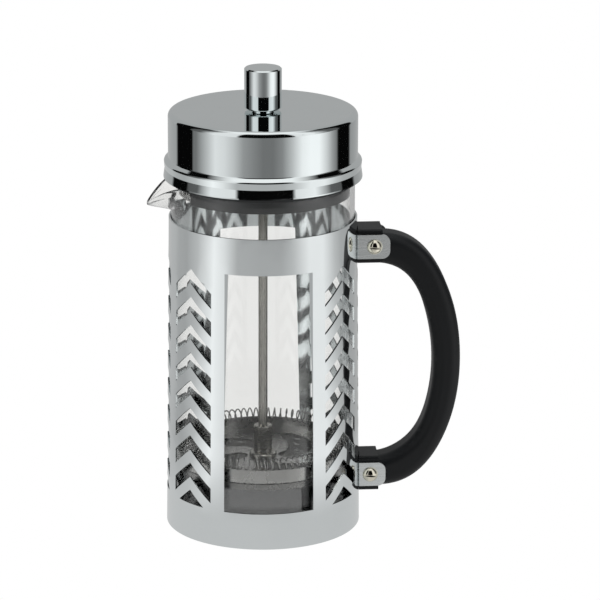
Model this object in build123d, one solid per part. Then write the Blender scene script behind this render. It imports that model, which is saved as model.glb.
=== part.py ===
from build123d import *
import os
from math import cos, pi, radians, sin, sqrt, tan

# French press. Millimetres, +Z up, +X towards the handle, -X towards the spout, -Y the front window.
# The origin is on the beaker's axis, at the face that the frame stands on.

# frame sleeve: rolled sheet, slightly wider at the foot
SLEEVE_TOP = 166.6
SLEEVE_R_FOOT = 51.2
SLEEVE_R_TOP = 49.1
SHEET = 0.9
CUT_TOP = 147.6
CUT_FOOT = 19.3
FRONT_HALF_ANGLE = 27.2
BACK_HALF_ANGLE = 29.5

# chevron columns
CHEVRON_PITCH = 15.0
CHEVRON_HEIGHT = 8.0
CHEVRON_SLOPE = tan(radians(38.5))
CHEVRON_TOP = 146.9
CHEVRON_ROWS = 9
WIDE_HALF_ANGLE = 16.2
NARROW_HALF_ANGLE = 10.9
WIDE_COLUMNS = (52.4, 127.6, 232.4, 307.6)
SPOUT_COLUMN = 270.0
HANDLE_COLUMN = 90.0
ROWS_ABOVE_LOWER_BRACKET = 7

# floor of the frame
PLATE_R = 50.15
PLATE_T = 0.9
PLATE_LIP = 5.0
CUSHION_R = 49.2
CUSHION_TOP = 6.3
CUSHION_LIP_TOP = 10.5
CUSHION_CLEAR = 0.4
SEAT_GAP = 0.02

# beaker
GLASS_R = 47.8
GLASS_WALL = 2.2
GLASS_FOOT = 6.5
GLASS_FLOOR = 3.0
GLASS_RIM = 185.8
GLASS_FOOT_ROUND = 7.0
GLASS_INNER_ROUND = 5.5

# spout, from the beaker's wall to its tip: (x, half width, top, underside)
SPOUT_ROWS = (
    (-42.0, 19.0, GLASS_RIM, 168.9),
    (-49.0, 12.5, 185.2, 170.3),
    (-55.0, 6.6, 181.6, 172.0),
    (-60.5, 2.9, 175.7, 173.1),
)
SPOUT_WALL = 1.9
SPOUT_TIP_WALL = 1.0

# lid shell: a drum on a bead, with a skirt that flares out below it
SKIRT_R = 51.62
SKIRT_FOOT = 188.1
SKIRT_LIP = 188.7
SKIRT_WAIST_R = 51.0
SKIRT_WAIST = 193.0
BEAD_R = 51.4
BEAD_SIDE = 196.9
BEAD_ROUND = 1.2
DRUM_R = 49.2
DRUM_FOOT = 198.8
DRUM_FOOT_ROUND = 0.6
LID_TOP = 222.7
LID_EDGE_ROUND = 2.8
LID_SHEET = 0.8

# lid collar, strainer and bush
COLLAR_R = 45.2
COLLAR_WALL = 2.5
COLLAR_FOOT = 179.1
COLLAR_SEAT = GLASS_RIM + 0.3
COLLAR_TOP = 189.3
COLLAR_DISC = 2.0
COLLAR_FLANGE_R = 48.6
NOTCH_HALF_ANGLE = 33.0
STRAINER_SHEET = 0.6
STRAINER_MARGIN = 4.0
STRAINER_HOLE_R = 0.8
STRAINER_ROWS = 3
STRAINER_COLUMNS = 15
STRAINER_STEP = 4.2
STRAINER_ROW_STEP = 2.2
BUSH_R = 6.0
BUSH_TOP = 223.6
BUSH_STEM_R = 4.0
BUSH_FOOT = 213.0
BUSH_NUT_R = 7.5
BUSH_NUT_T = 3.5

# plunger
ROD_R = 2.4
ROD_FOOT = 28.4
ROD_TOP = 238.0
FIT = 0.06
CONTACT = 0.02
KNOB_R = 9.7
KNOB_FOOT = 223.75
KNOB_TOP = 245.2
HUB_R = 4.9
HUB_TOP = 51.8
HUB_FLANGE_R = 7.3
HUB_FLANGE_T = 2.1
HUB_FOOT = 35.0

# filter stack, from the cross plate upwards
CROSS_FOOT = 32.9
CROSS_T = 0.8
MESH_T = 0.4
SPIRAL_T = 0.7
CROSS_LIP_FOOT = 30.6
FILTER_R = 44.9
PAN_TOP = 41.4
SPIRAL_OPENINGS = 4
SPIRAL_START_R = 12.5
SPIRAL_END_R = 34.0
SPIRAL_SWEEP = 62.0
CROSS_HOLE_R = 2.1
CROSS_HOLE_ROWS = ((14.0, 8), (21.0, 12), (28.0, 16), (35.5, 20))
COIL_RING_R = 41.75
COIL_R = 3.1
COIL_WIRE_R = 0.4
COIL_Z = 43.9
COIL_TURNS = 78
COIL_LEAN = -9.0
NUT_AF = 9.0
NUT_T = 3.4

# handle and its brackets
EAR_OUT = 10.6
EAR_T = 1.2
EAR_H = 12.9
EAR_REACH = 8.1
EAR_CORNER = 4.2
EAR_BEND = 0.9
UPPER_Z = 151.1
UPPER_SCREW_X = 57.6
LOWER_Z = 25.8
LOWER_SCREW_X = 56.3
BLOCK_HALF = 9.3
BLOCK_ROUND = 1.6
BLOCK_CLEAR = 0.1
UPPER_BLOCK = (141.85, 159.95, 61.8)
LOWER_BLOCK = (16.45, 35.35, 60.8)
GRIP_ROUND = 5.6
GRIP_OUTSIDE = ((58, 156.8), (80, 151.4), (97, 126.8), (104, 88), (97.5, 48.9), (80.6, 24.1), (58, 18.3))
GRIP_INSIDE = ((58, 34.1), (66.5, 35.8), (78.1, 43.8), (87.4, 64.5), (89.6, 87), (85.8, 112.7),
               (74.8, 134.6), (58, 141.0))
SCREW_R = 2.0
SCREW_HEAD_R = 4.1
SCREW_HEAD_H = 3.0
SLOT_W = 1.0
SLOT_D = 1.3
SLOT_TURN = 5.0
BARREL_R = 2.9
BARREL_DEPTH = 13.0
BARREL_ROOM = 2.1


def sleeve_radius(z):
    """Outer radius of the sleeve at a height."""
    return SLEEVE_R_FOOT + (SLEEVE_R_TOP - SLEEVE_R_FOOT) * z / SLEEVE_TOP


def disc(radius, low, high):
    """Solid disc about the beaker's axis."""
    return Pos(0, 0, low) * Cylinder(radius, high - low, align=(Align.CENTER, Align.CENTER, Align.MIN))


def ring(outer, inner, low, high):
    """Ring about the beaker's axis."""
    return disc(outer, low, high) - disc(inner, low - 1, high + 1)


def slab(x0, x1, y0, y1, z0, z1):
    """Box between two corners."""
    size = Box(x1 - x0, y1 - y0, z1 - z0, align=(Align.MIN, Align.MIN, Align.MIN))
    return Pos(x0, y0, z0) * size


def turned(points, rounds=None):
    """Solid of revolution from an (r, z) outline; rounds gives a radius for some of its points."""
    outline = make_face(Plane.XZ * Polyline(*points, close=True))
    for point, radius in (rounds or {}).items():
        place = Vector(point[0], 0, point[1])
        corner = outline.vertices().sort_by_distance(place)[0]
        outline = fillet(corner, radius)
    return revolve(outline, Axis.Z)


def radial_cutter(angle, points):
    """Prism that cuts an (across, z) outline out of the wall at an angle from the front."""
    depth = 14.0
    outline = make_face(Plane.XZ * Polyline(*points, close=True))
    prism = extrude(outline, depth, dir=(0, -1, 0))
    return Rot(0, 0, angle) * Pos(0, 4.0 - GLASS_R, 0) * prism


def window_cutter(angle, half_angle):
    """Tall window; its sides follow the sleeve's taper."""
    low = sleeve_radius(CUT_FOOT) * sin(radians(half_angle))
    high = sleeve_radius(CUT_TOP) * sin(radians(half_angle))
    return radial_cutter(angle, [(-low, CUT_FOOT), (low, CUT_FOOT), (high, CUT_TOP), (-high, CUT_TOP)])


def chevron_cutter(angle, half_angle, row):
    """One chevron; the lowest row is a triangle that ends level with the window."""
    apex = CHEVRON_TOP - row * CHEVRON_PITCH
    under = apex - CHEVRON_HEIGHT
    if under < CUT_FOOT:
        half = (apex - CUT_FOOT) / CHEVRON_SLOPE
        half = min(half, sleeve_radius(CUT_FOOT) * sin(radians(half_angle)))
        shoulder = apex - half * CHEVRON_SLOPE
        points = [(-half, CUT_FOOT), (half, CUT_FOOT), (half, shoulder), (0, apex), (-half, shoulder)]
        if shoulder - CUT_FOOT < 0.01:
            points = [(-half, CUT_FOOT), (half, CUT_FOOT), (0, apex)]
        return radial_cutter(angle, points)
    half = sleeve_radius(under) * sin(radians(half_angle))
    drop = half * CHEVRON_SLOPE
    points = [(0, apex), (half, apex - drop), (half, under - drop)]
    points += [(0, under), (-half, under - drop), (-half, apex - drop)]
    return radial_cutter(angle, points)


def frame_sleeve():
    sleeve = turned([(SLEEVE_R_FOOT - SHEET, 0), (SLEEVE_R_FOOT, 0),
                     (SLEEVE_R_TOP, SLEEVE_TOP), (SLEEVE_R_TOP - SHEET, SLEEVE_TOP)])
    cutters = [window_cutter(0, FRONT_HALF_ANGLE), window_cutter(180, BACK_HALF_ANGLE)]
    for row in range(CHEVRON_ROWS):
        for angle in WIDE_COLUMNS:
            cutters.append(chevron_cutter(angle, WIDE_HALF_ANGLE, row))
        cutters.append(chevron_cutter(SPOUT_COLUMN, NARROW_HALF_ANGLE, row))
        if row < ROWS_ABOVE_LOWER_BRACKET:
            cutters.append(chevron_cutter(HANDLE_COLUMN, NARROW_HALF_ANGLE, row))
    return sleeve - cutters


def base_plate():
    pan_inside = PLATE_R - PLATE_T
    return turned([(0, 0), (PLATE_R, 0), (PLATE_R, PLATE_LIP), (pan_inside, PLATE_LIP),
                   (pan_inside, PLATE_T), (0, PLATE_T)])


def base_cushion():
    seat = GLASS_R + CUSHION_CLEAR
    low = PLATE_T + SEAT_GAP
    return turned([(0, low), (CUSHION_R, low), (CUSHION_R, CUSHION_LIP_TOP),
                   (seat, CUSHION_LIP_TOP), (seat, CUSHION_TOP), (0, CUSHION_TOP)])


def spout_section(x, half, top, under):
    """Closed U across the spout: half an ellipse below a straight top."""
    plane = Plane(origin=(x, 0, top), x_dir=(0, 1, 0), z_dir=(1, 0, 0))
    belly = EllipticalCenterArc((0, 0), half, top - under, start_angle=180, arc_size=180)
    return make_face(plane * (belly + Line(belly @ 1, belly @ 0)))


def spout_outside():
    return loft([spout_section(*row) for row in SPOUT_ROWS])


def spout_hollow():
    """Hollow of the spout, open at its top and tip."""
    above = 6.0
    sections = []
    for x, half, top, under in SPOUT_ROWS:
        sections.append(spout_section(x, half - SPOUT_WALL, top + above, under + SPOUT_WALL))
    x, half, top, under = SPOUT_ROWS[-1]
    past_tip = x - SPOUT_TIP_WALL
    sections[-1] = spout_section(past_tip, half - SPOUT_WALL, top + above, under + SPOUT_WALL)
    return loft(sections)


def glass_beaker():
    inner = GLASS_R - GLASS_WALL
    floor = GLASS_FOOT + GLASS_FLOOR
    outside = turned([(0, GLASS_FOOT), (GLASS_R, GLASS_FOOT), (GLASS_R, GLASS_RIM), (0, GLASS_RIM)],
                     {(GLASS_R, GLASS_FOOT): GLASS_FOOT_ROUND})
    above = GLASS_RIM + 1
    inside = turned([(0, floor), (inner, floor), (inner, above), (0, above)],
                    {(inner, floor): GLASS_INNER_ROUND})
    return outside + spout_outside() - inside - spout_hollow()


def lid_shell():
    drum_in = DRUM_R - LID_SHEET
    skirt_in = SKIRT_R - LID_SHEET
    waist_in = SKIRT_WAIST_R - LID_SHEET
    bead_in = BEAD_R - LID_SHEET
    ceiling = LID_TOP - LID_SHEET
    step = DRUM_FOOT - 2 * LID_SHEET
    hole = BUSH_STEM_R + FIT
    points = [(hole, LID_TOP), (DRUM_R, LID_TOP), (DRUM_R, DRUM_FOOT), (BEAD_R, BEAD_SIDE),
              (SKIRT_WAIST_R, SKIRT_WAIST), (SKIRT_R, SKIRT_LIP), (SKIRT_R, SKIRT_FOOT),
              (skirt_in, SKIRT_FOOT), (waist_in, SKIRT_WAIST), (bead_in, BEAD_SIDE - LID_SHEET),
              (drum_in, step), (drum_in, ceiling), (hole, ceiling)]
    rounds = {(DRUM_R, LID_TOP): LID_EDGE_ROUND, (DRUM_R, DRUM_FOOT): DRUM_FOOT_ROUND,
              (BEAD_R, BEAD_SIDE): BEAD_ROUND, (drum_in, ceiling): LID_EDGE_ROUND - LID_SHEET}
    return turned(points, rounds)


def lid_collar():
    wall_in = COLLAR_R - COLLAR_WALL
    disc_foot = COLLAR_TOP - COLLAR_DISC
    hole = HUB_R + 1.0
    collar = turned([(hole, COLLAR_TOP), (COLLAR_FLANGE_R, COLLAR_TOP), (COLLAR_FLANGE_R, COLLAR_SEAT),
                     (COLLAR_R, COLLAR_SEAT), (COLLAR_R, COLLAR_FOOT), (wall_in, COLLAR_FOOT),
                     (wall_in, disc_foot), (hole, disc_foot)], {(COLLAR_R, COLLAR_FOOT): 0.8})
    half = COLLAR_R * sin(radians(NOTCH_HALF_ANGLE))
    notch = slab(-COLLAR_R - 1, -COLLAR_R * cos(radians(NOTCH_HALF_ANGLE)) + COLLAR_WALL,
                 -half, half, COLLAR_FOOT - 1, COLLAR_SEAT)
    return collar - notch


def pour_strainer():
    outer = COLLAR_R - COLLAR_WALL - CONTACT
    low = COLLAR_FOOT + 0.5
    high = COLLAR_TOP - COLLAR_DISC - CONTACT
    half = outer * sin(radians(NOTCH_HALF_ANGLE + STRAINER_MARGIN))
    keep = slab(-outer - 1, -outer / 2, -half, half, low, high)
    strip = ring(outer, outer - STRAINER_SHEET, low, high) & keep
    first_row = low + 2 * STRAINER_HOLE_R
    middle_column = STRAINER_COLUMNS // 2
    hole = Rot(0, -90, 0) * Cylinder(STRAINER_HOLE_R, 4 * STRAINER_SHEET + 1)
    holes = []
    for row in range(STRAINER_ROWS):
        shift = (row % 2) / 2
        for column in range(-middle_column, middle_column + 1):
            place = Pos(-outer, 0, first_row + STRAINER_ROW_STEP * row)
            holes.append(Rot(0, 0, STRAINER_STEP * (column + shift)) * place * hole)
    return strip - holes


def lid_bush():
    flange_foot = LID_TOP + CONTACT
    bush = disc(BUSH_STEM_R, BUSH_FOOT, flange_foot)
    flange = disc(BUSH_R, flange_foot, BUSH_TOP)
    flange = fillet(flange.edges().sort_by(Axis.Z)[-1], 0.3)
    return bush + flange - disc(ROD_R + FIT, BUSH_FOOT - 1, BUSH_TOP + 1)


def bush_nut():
    high = LID_TOP - LID_SHEET - CONTACT
    low = high - BUSH_NUT_T
    blank = extrude(Pos(0, 0, low) * RegularPolygon(BUSH_NUT_R, 6, major_radius=True), BUSH_NUT_T)
    return blank - disc(BUSH_STEM_R + FIT, low - 1, high + 1)


def plunger_knob():
    knob = disc(KNOB_R, KNOB_FOOT, KNOB_TOP)
    knob = chamfer(knob.edges().filter_by(GeomType.CIRCLE).sort_by(Axis.Z)[-1], 0.6)
    knob = fillet(knob.edges().filter_by(GeomType.CIRCLE).sort_by(Axis.Z)[0], 1.0)
    return knob - disc(ROD_R + CONTACT, KNOB_FOOT - 1, ROD_TOP + 0.5)


def plunger_rod():
    return disc(ROD_R, ROD_FOOT, ROD_TOP)


def rod_hub():
    flange_top = HUB_FOOT + HUB_FLANGE_T
    bore = ROD_R + CONTACT
    return turned([(bore, HUB_FOOT), (HUB_FLANGE_R, HUB_FOOT), (HUB_FLANGE_R, flange_top),
                   (HUB_R, flange_top), (HUB_R, HUB_TOP), (bore, HUB_TOP)],
                  {(HUB_FLANGE_R, flange_top): 1.4, (HUB_R, HUB_TOP): 0.8})


def spiral_opening(angle):
    """Curved slot that sweeps outwards round the plate, as a row of overlapping discs."""
    steps = 9
    tools = []
    for step in range(steps):
        part = step / (steps - 1)
        radius = SPIRAL_START_R + (SPIRAL_END_R - SPIRAL_START_R) * part ** 0.8
        turn = radians(angle + SPIRAL_SWEEP * part)
        width = 3.2 + 3.6 * sin(pi * (0.12 + 0.76 * part))
        tools.append(Pos(radius * cos(turn), radius * sin(turn)) * Circle(width))
    joined = tools[0]
    for first, second in zip(tools, tools[1:]):
        joined += make_hull((first + second).edges())
    return joined


def spiral_plate():
    low = CROSS_FOOT + CROSS_T + MESH_T
    bore = ROD_R + FIT
    inner = FILTER_R - SPIRAL_T
    pan = turned([(bore, low), (FILTER_R, low), (FILTER_R, PAN_TOP), (inner, PAN_TOP),
                  (inner, low + SPIRAL_T), (bore, low + SPIRAL_T)], {(FILTER_R, low): 0.6})
    openings = []
    for turn in range(SPIRAL_OPENINGS):
        outline = spiral_opening(turn * 360 / SPIRAL_OPENINGS)
        openings.append(extrude(Pos(0, 0, low - 1) * outline, SPIRAL_T + 2))
    return pan - openings


def mesh_screen():
    low = CROSS_FOOT + CROSS_T
    return ring(FILTER_R - 0.3, ROD_R + FIT, low, low + MESH_T)


def cross_plate():
    edge = FILTER_R - 0.3
    lip_in = edge - CROSS_T
    bore = ROD_R + FIT
    plate = turned([(bore, CROSS_FOOT), (lip_in, CROSS_FOOT), (lip_in, CROSS_LIP_FOOT),
                    (edge, CROSS_LIP_FOOT), (edge, CROSS_FOOT + CROSS_T), (bore, CROSS_FOOT + CROSS_T)])
    punch = Pos(0, 0, CROSS_FOOT - 1) * extrude(Circle(CROSS_HOLE_R), CROSS_T + 2)
    holes = []
    for radius, count in CROSS_HOLE_ROWS:
        for spot in PolarLocations(radius, count):
            holes.append(spot * punch)
    return plate - holes


def coil_spring():
    """Edge spring, as a ring of closed wire turns that lean a little."""
    turns = []
    for index in range(COIL_TURNS):
        turn = Rot(90, 0, 0) * Torus(COIL_R, COIL_WIRE_R)
        place = Rot(0, 0, 360 * index / COIL_TURNS) * Pos(COIL_RING_R, 0, COIL_Z)
        turns.append(place * Rot(0, 0, COIL_LEAN) * turn)
    return Compound(turns)


def filter_nut():
    high = CROSS_FOOT - CONTACT
    blank = extrude(Pos(0, 0, high - NUT_T) * RegularPolygon(NUT_AF / 2, 6, major_radius=False), NUT_T)
    return blank - disc(ROD_R + FIT, high - NUT_T - 1, high + 1)


def bracket_inside(middle):
    """Radius of the face that a bracket lays on the sleeve."""
    return sleeve_radius(middle - EAR_H / 2) + CONTACT


def handle_bracket(middle, screw_x):
    """Saddle of bent strip: a web on the sleeve and an ear each side of the handle's block."""
    low = middle - EAR_H / 2
    high = middle + EAR_H / 2
    against = bracket_inside(middle)
    root = sqrt(against ** 2 - EAR_OUT ** 2)
    saddle = ring(against + EAR_T, against, low, high) & slab(root, against + 5, -EAR_OUT, EAR_OUT, low, high)
    for side in (-1, 1):
        near, far = sorted((side * (EAR_OUT - EAR_T), side * EAR_OUT))
        ear = slab(against - 6, screw_x + EAR_REACH, near, far, low, high)
        ear = fillet(ear.edges().filter_by(Axis.Y).group_by(Axis.X)[-1], EAR_CORNER)
        saddle += ear - disc(against, low - 1, high + 1)
    saddle = fillet(saddle.edges().filter_by(Axis.Z).group_by(Axis.X)[0], EAR_BEND)
    screw_hole = Rot(90, 0, 0) * Cylinder(SCREW_R + FIT, 4)
    barrel_hole = Rot(90, 0, 0) * Cylinder(BARREL_R + FIT, 4)
    saddle -= Pos(screw_x, -EAR_OUT, middle) * screw_hole
    return saddle - Pos(screw_x, EAR_OUT, middle) * barrel_hole


def upper_handle_bracket():
    return handle_bracket(UPPER_Z, UPPER_SCREW_X)


def lower_handle_bracket():
    return handle_bracket(LOWER_Z, LOWER_SCREW_X)


def grip_outline():
    """Side view of the C: an outer and an inner curve, joined at the blocks."""
    outer = Spline(*GRIP_OUTSIDE)
    inner = Spline(*GRIP_INSIDE)
    ends = Line(outer @ 1, inner @ 0) + Line(inner @ 1, outer @ 0)
    return make_face(Plane.XZ * (outer + inner + ends))


def handle_block(low, high, end_x, middle):
    """Square end of the handle, against the sleeve above and below its bracket's web."""
    block = slab(sleeve_radius(high) - 4, end_x, -BLOCK_HALF, BLOCK_HALF, low, high)
    block = fillet(block.edges().filter_by(Axis.X), BLOCK_ROUND)
    block -= disc(sleeve_radius(low) + BLOCK_CLEAR, low - 1, high + 1)
    web_room = bracket_inside(middle) + EAR_T + BLOCK_CLEAR
    half = EAR_H / 2 + BLOCK_CLEAR
    return block - disc(web_room, middle - half, middle + half)


def handle_grip():
    bar = Pos(0, BLOCK_HALF, 0) * extrude(grip_outline(), 2 * BLOCK_HALF, dir=(0, -1, 0))
    grip = fillet(bar.edges().filter_by(GeomType.BSPLINE), GRIP_ROUND)
    bore_depth = BARREL_DEPTH + BARREL_ROOM
    screw_bore = Rot(90, 0, 0) * Cylinder(SCREW_R + FIT, 4 * EAR_OUT)
    barrel_bore = Rot(90, 0, 0) * Cylinder(BARREL_R + FIT, bore_depth + BARREL_ROOM)
    ends = ((UPPER_Z, UPPER_SCREW_X, UPPER_BLOCK), (LOWER_Z, LOWER_SCREW_X, LOWER_BLOCK))
    for middle, screw_x, block in ends:
        grip += handle_block(*block, middle)
        grip -= Pos(screw_x, 0, middle) * screw_bore
        grip -= Pos(screw_x, EAR_OUT + BARREL_ROOM / 2 - bore_depth / 2, middle) * barrel_bore
    return grip


def dome(side):
    """Slotted dome head, its flat on y = 0 and its top towards side."""
    ball_r = (SCREW_HEAD_R ** 2 + SCREW_HEAD_H ** 2) / (2 * SCREW_HEAD_H)
    ball = Pos(0, side * (SCREW_HEAD_H - ball_r), 0) * Sphere(ball_r)
    reach = 2 * SCREW_HEAD_R
    near, far = sorted((0.0, side * reach))
    head = ball & slab(-reach, reach, near, far, -reach, reach)
    slot_low, slot_high = sorted((side * (SCREW_HEAD_H - SLOT_D), side * (SCREW_HEAD_H + 1)))
    slot = slab(-reach, reach, slot_low, slot_high, -SLOT_W / 2, SLOT_W / 2)
    return head - Rot(0, SLOT_TURN, 0) * slot


def handle_screws():
    """Front screws, one in each block; each shank ends in its barrel nut."""
    front = -EAR_OUT - CONTACT
    length = 2 * EAR_OUT - 3.0
    shank = Pos(0, length / 2, 0) * Rot(90, 0, 0) * Cylinder(SCREW_R, length)
    screw = dome(-1) + shank
    return Compound([Pos(x, front, z) * screw
                     for x, z in ((UPPER_SCREW_X, UPPER_Z), (LOWER_SCREW_X, LOWER_Z))])


def handle_barrel_nuts():
    """Barrel nuts with dome heads, behind the screws."""
    back = EAR_OUT + CONTACT
    barrel = Pos(0, -BARREL_DEPTH / 2, 0) * Rot(90, 0, 0) * Cylinder(BARREL_R, BARREL_DEPTH)
    bore = Pos(0, -BARREL_DEPTH / 2 - 1, 0) * Rot(90, 0, 0) * Cylinder(SCREW_R + CONTACT, BARREL_DEPTH + 0.5)
    nut = dome(1) + barrel - bore
    return Compound([Pos(x, back, z) * nut
                     for x, z in ((UPPER_SCREW_X, UPPER_Z), (LOWER_SCREW_X, LOWER_Z))])


PARTS = {
    "frame_sleeve": frame_sleeve,
    "base_plate": base_plate,
    "base_cushion": base_cushion,
    "upper_handle_bracket": upper_handle_bracket,
    "lower_handle_bracket": lower_handle_bracket,
    "handle_grip": handle_grip,
    "handle_screws": handle_screws,
    "handle_barrel_nuts": handle_barrel_nuts,
    "glass_beaker": glass_beaker,
    "lid_shell": lid_shell,
    "lid_collar": lid_collar,
    "pour_strainer": pour_strainer,
    "lid_bush": lid_bush,
    "bush_nut": bush_nut,
    "plunger_knob": plunger_knob,
    "plunger_rod": plunger_rod,
    "rod_hub": rod_hub,
    "spiral_plate": spiral_plate,
    "coil_spring": coil_spring,
    "mesh_screen": mesh_screen,
    "cross_plate": cross_plate,
    "filter_nut": filter_nut,
}

os.makedirs("parts", exist_ok=True)
for node, make in PARTS.items():
    export_step(make(), f"parts/{node}.step")
    print(node)
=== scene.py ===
"""French press: finishes, blown glass, coil spring, wire cloth and studio, round the fixed parts."""

import math

import bpy
from bpy.props import FloatProperty, FloatVectorProperty, IntProperty, PointerProperty
from mathutils import Matrix, Vector


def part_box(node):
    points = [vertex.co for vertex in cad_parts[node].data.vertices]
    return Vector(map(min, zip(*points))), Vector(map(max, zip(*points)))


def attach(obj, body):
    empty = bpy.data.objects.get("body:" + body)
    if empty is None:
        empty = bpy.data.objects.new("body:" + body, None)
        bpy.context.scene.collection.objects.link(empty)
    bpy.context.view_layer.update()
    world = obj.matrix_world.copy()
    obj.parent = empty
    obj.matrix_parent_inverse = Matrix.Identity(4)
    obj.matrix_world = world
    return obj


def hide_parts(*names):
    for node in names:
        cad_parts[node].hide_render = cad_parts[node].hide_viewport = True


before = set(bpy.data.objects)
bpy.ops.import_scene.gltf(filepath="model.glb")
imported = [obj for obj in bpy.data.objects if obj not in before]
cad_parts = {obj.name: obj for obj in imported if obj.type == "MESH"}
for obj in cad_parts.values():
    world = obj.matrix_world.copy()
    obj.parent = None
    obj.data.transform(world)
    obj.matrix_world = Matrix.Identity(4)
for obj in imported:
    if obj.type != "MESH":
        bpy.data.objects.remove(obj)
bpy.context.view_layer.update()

bl_info = {
    "name": "French Press",
    "version": (1, 0, 0),
    "blender": (4, 5, 0),
    "location": "View3D > Sidebar > French Press",
    "description": "Builds the looks of a french press around its CAD model",
    "category": "Object",
}

MM = 0.001
WHITE = (1.0, 1.0, 1.0, 1.0)
BLACK = (0.0, 0.0, 0.0, 1.0)

# wear and grain: where a noise starts and stops counting
HAIR_LIMITS = (0.62, 0.75)
HAIR_WEIGHT = 0.5
SMUDGE_LIMITS = (0.42, 0.72)
LINE_LIMITS = (0.35, 0.7)

# shape of the blown glass
OUTER_CORNER = 7.0 * MM
INNER_CORNER = 5.5 * MM
NECK_DROP = 19.0 * MM
LIP_TIP_ANGLE = math.radians(1.6)
LIP_POWER = 1.75
LIP_SWELL = (0.40, 0.86)
LIP_SWELL_POWER = 0.75
LIP_THINNING = 1.1 * MM
NECK_PART = 0.35
LOW_ROWS = 6
HIGH_ROWS = 34
CORNER_STEPS = 8
RIM_STEPS = 8
FINE_ANGLE = math.radians(0.5)
COARSE_COLUMNS = 150

STEPS_PER_TURN = 14
WIRE_SIDES = 8
CLOTH_SIDES = 4


# ---------------------------------------------------------------------------------------------
# sizes and colours that a user would change


def low_corner(node):
    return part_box(node)[0]


def high_corner(node):
    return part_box(node)[1]


class PressGlassSizes(bpy.types.PropertyGroup):
    """Sizes of the blown beaker, which stands where the plain one does."""

    radius: FloatProperty(
        name="Outer Radius", description="Outer radius of the glass", unit="LENGTH",
        default=high_corner("glass_beaker").y)
    foot: FloatProperty(
        name="Foot Height", description="Height of the glass's underside", unit="LENGTH",
        default=low_corner("glass_beaker").z)
    rim: FloatProperty(
        name="Rim Height", description="Height of the fire-polished rim", unit="LENGTH",
        default=185.8 * MM)
    wall: FloatProperty(
        name="Wall", description="Thickness of the glass wall", unit="LENGTH", default=2.2 * MM)
    floor: FloatProperty(
        name="Floor", description="Thickness of the glass floor", unit="LENGTH", default=3.0 * MM)
    spout_reach: FloatProperty(
        name="Spout Reach", description="How far the lip stands out of the wall", unit="LENGTH",
        default=12.6 * MM)
    spout_drop: FloatProperty(
        name="Spout Drop", description="How far the lip's tip lies below the rim", unit="LENGTH",
        default=11.2 * MM)
    spout_width: FloatProperty(
        name="Spout Width", description="Half of the angle over which the lip is drawn out",
        unit="ROTATION", default=math.radians(27.0))


class PressSpringSizes(bpy.types.PropertyGroup):
    """Sizes of the coil spring round the filter."""

    turns: IntProperty(
        name="Turns", description="Turns of wire round the filter's edge", default=78, min=8)
    ring_radius: FloatProperty(
        name="Ring Radius", description="Radius of the ring that the coil is bent into", unit="LENGTH",
        default=41.75 * MM)
    coil_radius: FloatProperty(
        name="Coil Radius", description="Radius of one turn at the wire's centre", unit="LENGTH",
        default=3.1 * MM)
    wire_radius: FloatProperty(
        name="Wire Radius", description="Radius of the spring wire", unit="LENGTH", default=0.38 * MM)
    height: FloatProperty(
        name="Height", description="Height of the ring's centre", unit="LENGTH", default=43.9 * MM)


class PressClothSizes(bpy.types.PropertyGroup):
    """Sizes of the woven wire cloth of the filter."""

    pitch: FloatProperty(
        name="Pitch", description="Distance between wires", unit="LENGTH", default=1.0 * MM)
    wire_radius: FloatProperty(
        name="Wire Radius", description="Radius of one wire of the cloth", unit="LENGTH",
        default=0.13 * MM)


class PressColours(bpy.types.PropertyGroup):
    """Colours of the press's finishes."""

    steel: FloatVectorProperty(
        name="Polished Steel", description="Colour of the frame's polished sheet", subtype="COLOR",
        size=3, default=(0.77, 0.805, 0.81))
    chrome: FloatVectorProperty(
        name="Lid Chrome", description="Colour of the lid's mirror finish", subtype="COLOR",
        size=3, default=(0.795, 0.845, 0.85))
    strip: FloatVectorProperty(
        name="Bracket Steel", description="Colour of the satin bracket strip", subtype="COLOR",
        size=3, default=(0.72, 0.745, 0.745))
    nickel: FloatVectorProperty(
        name="Nickel", description="Colour of the warm nickel on the screws", subtype="COLOR",
        size=3, default=(0.80, 0.76, 0.64))
    filter_steel: FloatVectorProperty(
        name="Filter Steel", description="Colour of the pressed filter plates", subtype="COLOR",
        size=3, default=(0.49, 0.485, 0.47))
    rod_steel: FloatVectorProperty(
        name="Rod Steel", description="Colour of the drawn rod", subtype="COLOR",
        size=3, default=(0.64, 0.62, 0.57))
    grip: FloatVectorProperty(
        name="Handle Black", description="Colour of the moulded handle", subtype="COLOR",
        size=3, default=(0.0035, 0.0042, 0.0050))
    collar: FloatVectorProperty(
        name="Collar Grey", description="Colour of the lid's inner collar and the cushion",
        subtype="COLOR", size=3, default=(0.045, 0.048, 0.050))
    glass: FloatVectorProperty(
        name="Glass", description="Tint of the clear glass", subtype="COLOR",
        size=3, default=(0.985, 0.992, 0.99))


class PressStudio(bpy.types.PropertyGroup):
    """Camera and light of the studio."""

    azimuth: FloatProperty(
        name="Azimuth", description="Camera's turn round the press from its front window",
        unit="ROTATION", default=math.radians(-3.8))
    distance: FloatProperty(
        name="Distance", description="Camera's distance from the beaker's axis", unit="LENGTH",
        default=1.7843)
    height: FloatProperty(
        name="Height", description="Camera's height above the table", unit="LENGTH", default=0.6546)
    pitch: FloatProperty(
        name="Pitch", description="Camera's tilt below level", unit="ROTATION",
        default=math.radians(16.67))
    aim: FloatProperty(
        name="Aim", description="Turn to the right that leaves room for the handle",
        unit="ROTATION", default=math.radians(0.597))
    lens: FloatProperty(name="Lens", description="Focal length in millimetres", default=213.1)
    key_power: FloatProperty(
        name="Key Power", description="Power of the overhead soft light", default=40.0)


PROPERTY_GROUPS = {
    "press_glass": PressGlassSizes,
    "press_spring": PressSpringSizes,
    "press_cloth": PressClothSizes,
    "press_colours": PressColours,
    "press_studio": PressStudio,
}


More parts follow.
